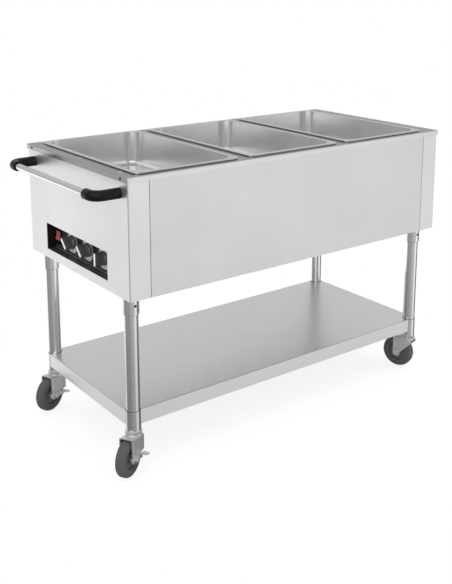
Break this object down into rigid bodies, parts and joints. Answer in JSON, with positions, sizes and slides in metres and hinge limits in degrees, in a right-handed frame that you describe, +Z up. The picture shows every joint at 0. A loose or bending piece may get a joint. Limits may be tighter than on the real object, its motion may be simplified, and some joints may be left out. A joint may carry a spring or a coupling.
{
  "type": "mobile bain marie",
  "caption": "Stainless food-warming cart: lift-out pans in heated wells, recessed controls and push handle at one end, undershelf, swivel casters, brakes at the handle end.",
  "frame": {"origin": "floor point under the middle of the overall box, handle included", "axes": "+Z up, +X along the length away from the control end, +Y to the rear long side"},
  "size_m": [1.213, 0.567, 0.8105],
  "materials": {
    "sheet_steel": "fine brushed stainless sheet",
    "pressed_steel": "bright pressed stainless",
    "tube_steel": "satin stainless tube",
    "handle_steel": "polished tube",
    "zinc_steel": "bright zinc plate",
    "element_steel": "dull heater sheath",
    "black_steel": "black satin coat",
    "dial_metal": "satin aluminium",
    "black_plastic": "black satin moulding",
    "red_plastic": "red translucent moulding",
    "control_plastic": "pale moulding",
    "wheel_plastic": "grey moulding",
    "tyre_rubber": "grey non-marking rubber"
  },
  "bodies": {
    "cart": {"front_panel": "sheet_steel", "rear_panel": "sheet_steel", "control_end_panel": "sheet_steel", "plain_end_panel": "sheet_steel", "top_deck": "sheet_steel", "base_tray": "sheet_steel", "well_left": "pressed_steel", "well_middle": "pressed_steel", "well_right": "pressed_steel", "heating_elements": "element_steel", "element_clamps": "zinc_steel", "deck_rivets": "zinc_steel", "lip_screws": "zinc_steel", "cable_gland": "black_plastic", "terminal_block": "control_plastic", "control_housing": "black_steel", "dial_plates": "dial_metal", "thermostats": "control_plastic", "switch_frame": "black_plastic", "handle_bar": "handle_steel", "handle_elbow_front": "black_plastic", "handle_elbow_rear": "black_plastic", "handle_bolts": "zinc_steel", "leg_sockets": "tube_steel", "grub_screws": "black_steel", "undershelf": "sheet_steel", "shelf_collars": "tube_steel", "caster_stems": "zinc_steel", "leg_front_left": "tube_steel", "leg_rear_left": "tube_steel", "leg_front_right": "tube_steel", "leg_rear_right": "tube_steel"},
    "pan_left": {"pan_left": "pressed_steel"},
    "pan_middle": {"pan_middle": "pressed_steel"},
    "pan_right": {"pan_right": "pressed_steel"},
    "knob_left": {"knob_left": "black_plastic", "knob_pointer_left": "dial_metal"},
    "knob_middle": {"knob_middle": "black_plastic", "knob_pointer_middle": "dial_metal"},
    "knob_right": {"knob_right": "black_plastic", "knob_pointer_right": "dial_metal"},
    "switch_rocker": {"switch_rocker": "red_plastic"},
    "swivel_front_left": {"fork_front_left": "zinc_steel", "axle_front_left": "zinc_steel"},
    "wheel_front_left": {"wheel_core_front_left": "wheel_plastic", "tyre_front_left": "tyre_rubber"},
    "brake_front_left": {"brake_lever_front_left": "zinc_steel"},
    "swivel_rear_left": {"fork_rear_left": "zinc_steel", "axle_rear_left": "zinc_steel"},
    "wheel_rear_left": {"wheel_core_rear_left": "wheel_plastic", "tyre_rear_left": "tyre_rubber"},
    "brake_rear_left": {"brake_lever_rear_left": "zinc_steel"},
    "swivel_front_right": {"fork_front_right": "zinc_steel", "axle_front_right": "zinc_steel"},
    "wheel_front_right": {"wheel_core_front_right": "wheel_plastic", "tyre_front_right": "tyre_rubber"},
    "swivel_rear_right": {"fork_rear_right": "zinc_steel", "axle_rear_right": "zinc_steel"},
    "wheel_rear_right": {"wheel_core_rear_right": "wheel_plastic", "tyre_rear_right": "tyre_rubber"}
  },
  "joints": [
    {"name": "pan_left_lift", "type": "slide", "parent": "cart", "child": "pan_left", "axis": [0, 0, 1], "range_m": [0, 0.14]},
    {"name": "pan_middle_lift", "type": "slide", "parent": "cart", "child": "pan_middle", "axis": [0, 0, 1], "range_m": [0, 0.14]},
    {"name": "pan_right_lift", "type": "slide", "parent": "cart", "child": "pan_right", "axis": [0, 0, 1], "range_m": [0, 0.14]},
    {"name": "knob_left_turn", "type": "hinge", "parent": "cart", "child": "knob_left", "pos_m": [-0.4953, 0.076, 0.5538], "axis": [1, 0, 0], "range_deg": [-135, 135]},
    {"name": "knob_middle_turn", "type": "hinge", "parent": "cart", "child": "knob_middle", "pos_m": [-0.4953, -0.0135, 0.5538], "axis": [1, 0, 0], "range_deg": [-135, 135]},
    {"name": "knob_right_turn", "type": "hinge", "parent": "cart", "child": "knob_right", "pos_m": [-0.4953, -0.103, 0.5538], "axis": [1, 0, 0], "range_deg": [0, 270]},
    {"name": "switch_rocker_tip", "type": "hinge", "parent": "cart", "child": "switch_rocker", "pos_m": [-0.4917, 0.158, 0.5538], "axis": [0, -1, 0], "range_deg": [0, 18]},
    {"name": "swivel_front_left_turn", "type": "hinge", "parent": "cart", "child": "swivel_front_left", "pos_m": [-0.4885, -0.227, 0.1092], "axis": [0, 0, 1], "continuous": true},
    {"name": "wheel_front_left_roll", "type": "hinge", "parent": "swivel_front_left", "child": "wheel_front_left", "pos_m": [-0.51619, -0.24305, 0.051], "axis": [-0.5015, 0.8652, 0], "continuous": true},
    {"name": "brake_front_left_press", "type": "hinge", "parent": "swivel_front_left", "child": "brake_front_left", "pos_m": [-0.51619, -0.24305, 0.051], "axis": [-0.5015, 0.8652, 0], "range_deg": [0, 22]},
    {"name": "swivel_rear_left_turn", "type": "hinge", "parent": "cart", "child": "swivel_rear_left", "pos_m": [-0.4885, 0.227, 0.1092], "axis": [0, 0, 1], "continuous": true},
    {"name": "wheel_rear_left_roll", "type": "hinge", "parent": "swivel_rear_left", "child": "wheel_rear_left", "pos_m": [-0.51793, 0.21444, 0.051], "axis": [-0.3923, 0.9198, 0], "continuous": true},
    {"name": "brake_rear_left_press", "type": "hinge", "parent": "swivel_rear_left", "child": "brake_rear_left", "pos_m": [-0.51793, 0.21444, 0.051], "axis": [-0.3923, 0.9198, 0], "range_deg": [0, 22]},
    {"name": "swivel_front_right_turn", "type": "hinge", "parent": "cart", "child": "swivel_front_right", "pos_m": [0.5695, -0.227, 0.1092], "axis": [0, 0, 1], "continuous": true},
    {"name": "wheel_front_right_roll", "type": "hinge", "parent": "swivel_front_right", "child": "wheel_front_right", "pos_m": [0.56063, -0.19626, 0.051], "axis": [0.9608, 0.2773, 0], "continuous": true},
    {"name": "swivel_rear_right_turn", "type": "hinge", "parent": "cart", "child": "swivel_rear_right", "pos_m": [0.5695, 0.227, 0.1092], "axis": [0, 0, 1], "continuous": true},
    {"name": "wheel_rear_right_roll", "type": "hinge", "parent": "swivel_rear_right", "child": "wheel_rear_right", "pos_m": [0.5382, 0.22035, 0.051], "axis": [-0.2079, 0.9781, 0], "continuous": true}
  ]
}
